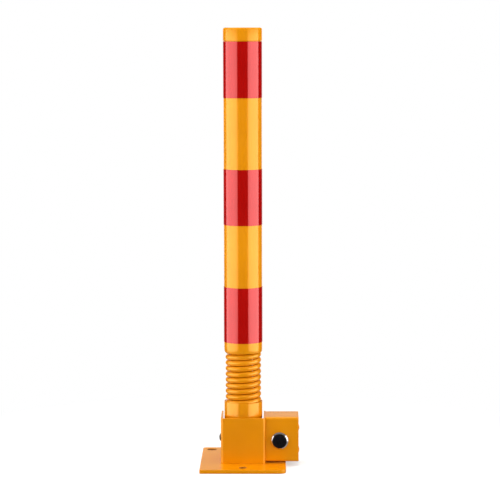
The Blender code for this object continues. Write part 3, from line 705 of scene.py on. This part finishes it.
def spring_seats():
    """Plugs in the tube ends, with a chamfered spigot inside the coil."""
    coil_clearance, thickness, edge, nose = 0.0008, 0.0055, 0.0004, 0.0015
    spigot = size("coil_spring").x / 2 - 2 * WIRE_RADIUS - coil_clearance
    for node, body, sign in (("lower_spring_seat", "stub", 1), ("upper_spring_seat", "post", -1)):
        low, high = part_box(node)
        back, tip = (low.z, high.z) if sign > 0 else (high.z, low.z)
        face = back + sign * thickness
        disc = size(node).x / 2
        profile = [
            (0, back),
            (disc - edge, back),
            (disc, back + sign * edge),
            (disc, face - sign * edge),
            (disc - edge, face),
            (spigot, face),
            (spigot, tip - sign * nose),
            (spigot - nose, tip),
            (0, tip),
        ]
        seat = add_piece(node + "_coated", lathe(profile, closed=False), PAINT, "yellow_paint", node)
        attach(seat, body)


def coil_halves():
    """The spring in two halves, split halfway between the stub's top and the post's foot.

    The wire runs on past both ends of the spring and is sliced flat there, as ground ends are.
    """
    low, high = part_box("coil_spring")
    stub_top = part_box("lower_stub")[1].z
    post_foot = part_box("post_tube")[0].z
    middle_z = (stub_top + post_foot) / 2
    radius = tube_bore - PIN_CLEARANCE - WIRE_RADIUS
    front_turn = -math.pi / 2
    front_z = post_foot - COIL_BELOW_POST
    slope = math.atan2(COIL_PITCH, 2 * math.pi * radius)
    overrun = WIRE_RADIUS * 0.6
    stations_per_turn = 72
    wire_facets = 20

    def turn_at(height):
        return front_turn + (height - front_z) / COIL_PITCH * 2 * math.pi

    ends = (turn_at(low.z - overrun), turn_at(middle_z), turn_at(high.z + overrun))
    halves = (
        ("coil_spring_lower", ends[0], ends[1], "stub", "flex", stub_top, middle_z, low.z, -1),
        ("coil_spring_upper", ends[1], ends[2], "flex", "post", middle_z, post_foot, high.z, 1),
    )
    for name, first, last, below, above, start, end, ground, outward_z in halves:
        steps = math.ceil((last - first) / (2 * math.pi) * stations_per_turn)
        bm = bmesh.new()
        rings = []
        for step in range(steps + 1):
            turn = first + (last - first) * step / steps
            outward = Vector((math.cos(turn), math.sin(turn), 0))
            around = Vector((-math.sin(turn), math.cos(turn), 0))
            upward = Vector((0, 0, math.cos(slope))) - around * math.sin(slope)
            height = front_z + COIL_PITCH * (turn - front_turn) / (2 * math.pi)
            centre = outward * radius + Vector((0, 0, height))
            ring = []
            for facet in range(wire_facets):
                angle = 2 * math.pi * facet / wire_facets
                offset = outward * math.cos(angle) + upward * math.sin(angle)
                ring.append(bm.verts.new(centre + offset * WIRE_RADIUS))
            rings.append(ring)
        sweep(bm, rings)
        sliced = slice_at(bm, (0, 0, ground), (0, 0, outward_z), dist=1e-6, clear_outer=True)
        rim = [item for item in sliced["geom_cut"] if isinstance(item, bmesh.types.BMEdge)]
        bmesh.ops.edgeloop_fill(bm, edges=rim)
        half = add_piece(name, bm, PAINT, "yellow_paint", "coil_spring")
        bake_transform(half)


def post_tube():
    """The tube, its foot drawn in to a soft lip."""
    low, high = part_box("post_tube")
    drawn_in, lip_height, edge = 0.0012, 0.0064, 0.0003
    profile = [(tube_bore, low.z)]
    for across, up in arc((0, 0), 1, -math.pi / 2, 0, LIP_STEPS):
        profile.append((tube_radius - drawn_in * (1 - across), low.z + lip_height * (1 + up)))
    profile += [(tube_radius, high.z - edge), (tube_radius - edge, high.z), (tube_bore, high.z)]
    tube = add_piece("post_tube_coated", lathe(profile), PAINT, "yellow_paint", "post_tube")
    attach(tube, "post")


def top_cap():
    """Flat cap with a soft rim, and a hollow spigot in the tube."""
    low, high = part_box("top_cap")
    radius = size("top_cap").x / 2
    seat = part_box("post_tube")[1].z + PIN_CLEARANCE
    spigot = tube_bore - PIN_CLEARANCE
    wall, rim, edge = 0.0025, 0.003, 0.0004
    lead_in, lead_height = 0.0006, 0.0012
    hollow = spigot - wall
    profile = [
        (spigot - lead_in, low.z),
        (spigot, low.z + lead_height),
        (spigot, seat),
        (radius - edge, seat),
        (radius, seat + edge),
    ]
    profile += arc((radius - rim, high.z - rim), rim, 0, math.pi / 2, LIP_STEPS)
    profile += [(0, high.z), (0, high.z - wall), (hollow, high.z - wall), (hollow, low.z)]
    cap = add_piece("top_cap_coated", lathe(profile), PAINT, "yellow_paint", "top_cap")
    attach(cap, "post")


def film_bands():
    """Each band is one strip round the post. Its end laps over its start at the back."""
    start = math.radians(78)
    lap = math.radians(16)
    ramp = math.radians(5)
    thickness = 0.00035
    edge = thickness * 0.3
    steps = 240
    for node in ("tape_bottom", "tape_middle", "tape_top"):
        low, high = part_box(node)
        inner = size(node).x / 2 - thickness
        section = rectangle(0, low.z, thickness, high.z, edge, 1)
        bm = bmesh.new()
        rows = []
        for step in range(steps + 1):
            travelled = (2 * math.pi + lap) * step / steps
            climb = (travelled - (2 * math.pi - ramp)) / ramp
            climb = min(max(climb, 0), 1)
            lift = (thickness + JOINT) * climb * climb * (3 - 2 * climb)
            angle = start + travelled
            row = []
            for across, height in section:
                reach = inner + lift + across
                row.append(bm.verts.new((reach * math.cos(angle), reach * math.sin(angle), height)))
            rows.append(row)
        sweep(bm, rows)
        band = add_piece(node + "_film", bm, FILM, "red_film", node)
        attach(band, "post")


def lock_housing():
    """Folded sheet round the lock, with the lock's hole in its front. It meets bracket and cover."""
    low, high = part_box("lock_housing")
    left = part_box("hinge_bracket")[1].x + JOINT
    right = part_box("housing_cover")[0].x - JOINT
    outline = rectangle(low.y, low.z, high.y, high.z, HOUSING_BEND, CORNER_STEPS)
    section = rectangle(left, 0, right, HOUSING_SHEET, PAINT_EDGE, EDGE_STEPS)
    bm = bmesh.new()
    rings = []
    for x, depth in section:
        rings.append([bm.verts.new((x, y, z)) for y, z in inset(outline, depth)])
    for ring, following in zip(rings, rings[1:] + rings[:1]):
        join_rings(bm, ring, following)
    hole_rims = []
    for y in (low.y, low.y + HOUSING_SHEET):
        spot = Vector((lock_centre.x, y, lock_centre.z))
        face = min(bm.faces, key=lambda f: (f.calc_center_median() - spot).length)
        edges = list(face.edges)
        bmesh.ops.delete(bm, geom=[face], context="FACES_ONLY")
        rim = []
        for x, z in circle((spot.x, spot.z), BARREL_RADIUS + PIN_CLEARANCE, SMALL_FACETS):
            rim.append(bm.verts.new((x, y, z)))
        for index, vert in enumerate(rim):
            edges.append(bm.edges.new((vert, rim[(index + 1) % len(rim)])))
        bmesh.ops.triangle_fill(bm, edges=edges, use_beauty=True)
        hole_rims.append(rim)
    join_rings(bm, *hole_rims)
    housing = add_piece("lock_housing_coated", bm, PAINT, "yellow_paint", "lock_housing")
    flatten_shading(housing)
    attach(housing, "base")


def housing_cover():
    """End cover of the housing, with holes for its two screws."""
    low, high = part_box("housing_cover")
    screw_hole = 0.0023
    outline = rectangle(low.y, low.z, high.y, high.z, HOUSING_BEND, CORNER_STEPS)
    holes = []
    for spot in (middle("cover_screw_lower"), middle("cover_screw_upper")):
        holes.append(circle((spot.y, spot.z), screw_hole, SCREW_FACETS))
    bm = slab(outline, holes, low.x, high.x, PAINT_EDGE)
    move(bm, lambda u, v, w: (w, u, v))
    cover = add_piece("housing_cover_coated", bm, PAINT, "yellow_paint", "housing_cover")
    flatten_shading(cover)
    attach(cover, "base")


def cover_screws():
    """Two screws with a low round head and a cross recess."""
    head_height, head_radius, head_rim, head_rise = 0.0011, 0.0045, 0.0003, 0.0008
    shank_radius, point_radius, point_height = 0.002, 0.0014, 0.0008
    half_width, half_length, depth, beyond = 0.00055, 0.0021, 0.0009, 0.001
    recess_corner, recess_edge, recess_turn = 0.0002, 0.0001, 0.5
    outline = rectangle(-half_length, -half_width, half_length, half_width, recess_corner, 3)
    for node in ("cover_screw_lower", "cover_screw_upper"):
        low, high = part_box(node)
        spot = middle(node)
        head = high.x - head_height
        profile = [(0, low.x), (point_radius, low.x), (shank_radius, low.x + point_height)]
        profile += [(shank_radius, head), (head_radius, head)]
        profile += dome(head_radius, head + head_rim, head_rise)
        profile += [(0, high.x)]
        bm = lathe(profile, "x", (0, spot.y, spot.z), SMALL_FACETS, closed=False)
        screw = add_piece(node + "_coated", bm, PAINT, "yellow_paint", node)
        recesses = []
        for turned in (0, math.pi / 2):
            recess = slab(outline, [], high.x - depth, high.x + beyond, recess_edge, 1)
            recess.transform(Matrix.Rotation(turned + recess_turn, 4, "Z"))
            move(recess, lambda u, v, w: (w, spot.y + u, spot.z + v))
            recesses.append(recess)
        cut(screw, *recesses)
        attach(screw, "base")


def lock_body():
    """Barrel with a polished conical bezel, and a pocket for the dust cover's rivet."""
    low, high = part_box("lock_body")
    radius = size("lock_body").x / 2
    bezel_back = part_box("lock_housing")[0].y - PIN_CLEARANCE
    bore = PLUG_RADIUS + PIN_CLEARANCE
    cone_width, cone_depth, flank = 0.0024, 0.0020, 0.0003
    pocket_radius, pocket_depth, beyond = 0.0015, 0.0019, 0.002
    profile = rounded(
        [
            (bore, low.y, 0.0003),
            (radius - cone_width, low.y, 0.0005),
            (radius - flank, low.y + cone_depth, 0.0010),
            (radius, bezel_back, 0.0002),
            (BARREL_RADIUS, bezel_back, 0),
            (BARREL_RADIUS, high.y, 0.0003),
            (bore, high.y, 0.0002),
        ],
        steps=5,
    )
    bm = lathe(profile, "y", lock_axis)
    body = add_piece("lock_body_chromed", bm, CHROME, "chrome", "lock_body")
    pocket = rod(pocket_radius, low.y - beyond, low.y + pocket_depth)
    cut(body, lathe(pocket, "y", rivet_axis, SCREW_FACETS, closed=False))
    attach(body, "base")


def lock_plug():
    """Brass plug with a stepped keyway, and a hole for the cam's screw behind."""
    low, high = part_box("lock_plug")
    edge = 0.0004
    profile = [
        (0, low.y),
        (PLUG_RADIUS - edge, low.y),
        (PLUG_RADIUS, low.y + edge),
        (PLUG_RADIUS, high.y),
        (0, high.y),
    ]
    bm = lathe(profile, "y", lock_axis, SMALL_FACETS, closed=False)
    plug = add_piece("lock_plug_keyed", bm, BRASS, "brass", "lock_plug")
    key_depth, screw_radius, screw_depth, beyond = 0.012, 0.0018, 0.0075, 0.01
    half = 0.0009
    end = 0.004
    keyway = [
        (-half, -end),
        (half, -end),
        (half, -0.0018),
        (half + 0.0006, -0.0014),
        (half + 0.0006, -0.0004),
        (half, 0.0),
        (half, end),
        (-half, end),
        (-half, 0.0022),
        (-half - 0.0005, 0.0018),
        (-half - 0.0005, 0.0010),
        (-half, 0.0006),
    ]
    form = slab(keyway, [], low.y - beyond, low.y + key_depth, 0.0001, 1)
    move(form, lambda u, v, w: (lock_centre.x + u, w, lock_centre.z + v))
    hole = rod(screw_radius, high.y - screw_depth, high.y + beyond)
    cut(plug, form, lathe(hole, "y", lock_axis, SCREW_FACETS, closed=False))
    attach(plug, "plug")


def dust_cover():
    """Round cover with a soft edge and a shallow dish, and the countersunk rivet it swings on."""
    low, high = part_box("dust_cover")
    radius = size("dust_cover").x / 2
    soft_edge, back_edge = 0.0007, 0.0002
    dish = ((0, 0.00025), (0.0086, 0.00025), (0.0092, 0.00018), (0.0098, 0.00003), (0.0104, 0))
    profile = [(across, low.y + depth) for across, depth in dish]
    profile += arc((radius - soft_edge, low.y + soft_edge), soft_edge, -math.pi / 2, 0, 6)
    profile += [(radius, high.y - back_edge), (radius - back_edge, high.y), (0, high.y)]
    bm = lathe(profile, "y", lock_axis, closed=False)
    cover = add_piece("dust_cover_moulded", bm, PLASTIC, "black_plastic", "dust_cover")
    hole_radius, countersink, beyond = 0.0015, 0.0022, 0.001
    head_flat, head_back = 0.00025, 0.00095
    hole = [
        (0, low.y - beyond),
        (countersink, low.y - beyond),
        (countersink, low.y + head_flat),
        (hole_radius, low.y + head_back),
        (hole_radius, high.y + beyond),
        (0, high.y + beyond),
    ]
    cut(cover, lathe(hole, "y", rivet_axis, RIVET_FACETS, closed=False))
    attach(cover, "cover")

    low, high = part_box("dust_cover_rivet")
    head_radius, shank_radius = 0.0019, 0.0012
    profile = [
        (0, low.y + 0.00035),
        (0.0006, low.y + 0.0003),
        (0.0009, low.y),
        (head_radius, low.y),
        (head_radius, low.y + head_flat),
        (shank_radius, low.y + head_back),
        (shank_radius, high.y),
        (0, high.y),
    ]
    bm = lathe(profile, "y", rivet_axis, RIVET_FACETS, closed=False)
    rivet = add_piece("dust_cover_rivet_set", bm, PLASTIC, "black_plastic", "dust_cover_rivet")
    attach(rivet, "base")


def hidden_solids():
    """The solids inside the housing keep their shape and get their finish."""
    looks = {
        "cover_lug_lower": PAINT,
        "cover_lug_upper": PAINT,
        "lock_nut": BRASS,
        "lock_cam": ZINC,
        "cam_screw": ZINC,
        "lock_bolt": ZINC,
        "bolt_guide": PAINT,
    }
    for node, look in looks.items():
        for material_slot in frame["nodes"][node].material_slots:
            material_slot.material = look


# Stage

# The floor keeps its shading inside SHADED_RADIUS and is plain white outside WHITE_RADIUS
FLOOR_RADIUS = 1.4
FLOOR_DROP = 0.0002
SHADED_RADIUS = 0.22
WHITE_RADIUS = 0.60
FLOOR_GREY = 0.5
FLOOR_LIFT = 0.48

# What gloss sees: a backdrop behind the post, a ceiling that is brighter behind, and the ground
BACKDROP = 1.08
CEILING_FRONT = 0.21
CEILING_BACK = 1.5
GROUND = 0.34
ROOM = 0.01

# Side boxes, and how their light falls off to the front, the foot and the top
SIDE_X = 1.1
SIDE_Z = 0.215
SIDE_HEIGHT = 1.27
SIDE_POWER = 17.5
SIDE_SPANS = ((-1, -1.84, 0.49), (1, -1.79, 0.30))
SIDE_FALLS = (
    ("Y", -1.84, -0.60, 0.75, 1.0),
    ("Z", -0.30, -0.03, 0.15, 1.0),
    ("Z", 0.70, 0.76, 1.0, 0.04),
)

# Light that gloss doesn't show: a box above, and a fill on each of five sides. A fill's radiance
# is its share times FILL.
TOP_PLACE = (-0.15, -0.05, 2.2)
TOP_SIDE = 1.6
TOP_POWER = 38
FILL = 0.48
FILL_SIDE = 6
FILLS = (((-3, 0, 1), 2.9), ((3, 0, 1), 2.9), ((0, -3, 1), 2.1), ((0, 3, 1), 1), ((0, 0, 4), 0.8))


def floor():
    """White floor. It keeps the post's shadow and turns plain white away from it."""
    bm = bmesh.new()
    bmesh.ops.create_circle(bm, cap_ends=True, segments=FLOOR_FACETS, radius=FLOOR_RADIUS)
    piece = add_object("floor", bm)
    piece.location.z = -FLOOR_DROP
    piece.visible_glossy = False
    material = bpy.data.materials.new("floor_white")
    tree = Tree(material)
    tree.nodes.clear()
    camera_ray = tree.node("LightPath").outputs["Is Camera Ray"]
    place = tree.node("TexCoord").outputs["Object"]
    reach = tree.node("VectorMath", place, operation="LENGTH").outputs["Value"]
    away = tree.remap(reach, SHADED_RADIUS, WHITE_RADIUS, 0, 1, "SMOOTHSTEP")
    lit = tree.node("BsdfDiffuse", Color=(FLOOR_GREY, FLOOR_GREY, FLOOR_GREY, 1)).outputs["BSDF"]
    lifted = tree.math("MULTIPLY", camera_ray, FLOOR_LIFT)
    lift = tree.node("Emission", Strength=lifted).outputs["Emission"]
    shaded = tree.node("AddShader", lit, lift).outputs["Shader"]
    white = tree.node("Emission").outputs["Emission"]
    share = tree.math("MULTIPLY", away, camera_ray)
    surface = tree.node("MixShader", share, shaded, white).outputs["Shader"]
    tree.node("OutputMaterial", Surface=surface)
    piece.data.materials.append(material)


def world():
    """Plain white to the camera, and a studio to gloss. Diffuse light comes from the lamps alone."""
    scene_world = bpy.data.worlds.new("studio")
    bpy.context.scene.world = scene_world
    tree = Tree(scene_world)
    background = tree.nodes["Background"]
    background.inputs["Color"].default_value = (1, 1, 1, 1)
    rays = tree.node("LightPath").outputs
    direction = tree.node("TexCoord").outputs["Generated"]
    axes = tree.node("SeparateXYZ", Vector=direction).outputs

    def across(axis, *span):
        """Goes from low to high between two values of the ray's direction on an axis."""
        return tree.remap(axes[axis], *span, "SMOOTHSTEP")

    behind = tree.math("MULTIPLY", across("Y", 0.82, 0.975, 0, 1), across("Z", 0.05, 0.35, 1, 0))
    backdrop = tree.math("MULTIPLY", behind, BACKDROP)
    towards_back = across("Y", 0.0, 0.35, CEILING_FRONT, CEILING_BACK)
    ceiling = tree.math("MULTIPLY", across("Z", 0.45, 0.75, 0, 1), towards_back)
    down = across("Z", -0.60, -0.20, GROUND, 0)
    ground = tree.math("MULTIPLY", down, across("Y", -0.80, -0.35, 0, 1))
    room = tree.math("ADD", tree.math("MAXIMUM", ceiling, ground), ROOM)
    studio = tree.math("MAXIMUM", backdrop, room)
    shiny = tree.math("MAXIMUM", rays["Is Glossy Ray"], rays["Is Transmission Ray"])
    strength = tree.math("ADD", rays["Is Camera Ray"], tree.math("MULTIPLY", shiny, studio))
    tree.feed(background.inputs["Strength"], strength)


def softbox(name, centre, target, width, height, power, falls=(), glossy=False):
    """An area light. Falls list (axis, from, to, strength at from, strength at to)."""
    light = bpy.data.lights.new(name, "AREA")
    light.shape = "RECTANGLE"
    light.size = width
    light.size_y = height
    light.energy = power
    if falls:
        tree = Tree(light)
        place = tree.node("NewGeometry").outputs["Position"]
        axes = tree.node("SeparateXYZ", Vector=place).outputs
        strength = 1
        for axis, *span in falls:
            strength = tree.math("MULTIPLY", strength, tree.remap(axes[axis], *span, "SMOOTHSTEP"))
        tree.feed(tree.nodes["Emission"].inputs["Strength"], strength)
    lamp = bpy.data.objects.new(name, light)
    bpy.context.scene.collection.objects.link(lamp)
    lamp.location = centre
    lamp.rotation_euler = (Vector(target) - Vector(centre)).to_track_quat("-Z", "Y").to_euler()
    lamp.visible_camera = False
    lamp.visible_glossy = glossy


def lights():
    """Two tall side boxes, which the tube mirrors as pale streaks, and the light round them."""
    for side, front, back in SIDE_SPANS:
        depth = back - front
        centre = (side * SIDE_X, back - depth / 2, SIDE_Z)
        target = (0, centre[1], SIDE_Z)
        softbox("side_light", centre, target, depth, SIDE_HEIGHT, SIDE_POWER, SIDE_FALLS, glossy=True)
    softbox("top_light", TOP_PLACE, (0, 0, 0), TOP_SIDE, TOP_SIDE, TOP_POWER)
    for place, share in FILLS:
        power = share * FILL * math.pi * FILL_SIDE**2
        softbox("fill_light", place, (0, 0, min(place[2], 1)), FILL_SIDE, FILL_SIDE, power)


def camera():
    """The photograph's camera: 3.03 m in front, 0.66 m up, looking down by about 6 degrees."""
    pitch, roll, yaw = -6.14, 0.126, 0.782
    data = bpy.data.cameras.new("camera")
    data.sensor_width = 36
    data.lens = 139.9
    eye = bpy.data.objects.new("camera", data)
    bpy.context.scene.collection.objects.link(eye)
    eye.location = (0.053, -3.028, 0.664)
    eye.rotation_euler = [math.radians(angle) for angle in (90 + pitch, roll, yaw)]
    bpy.context.scene.camera = eye


camera()
base_plate()
hinge_bracket()
bracket_weld()
pivot_pin()
stub_and_sleeve()
spring_seats()
coil_halves()
post_tube()
top_cap()
film_bands()
lock_housing()
housing_cover()
cover_screws()
lock_body()
lock_plug()
dust_cover()
hidden_solids()
floor()
world()
lights()
bpy.context.scene.view_settings.view_transform = "Standard"
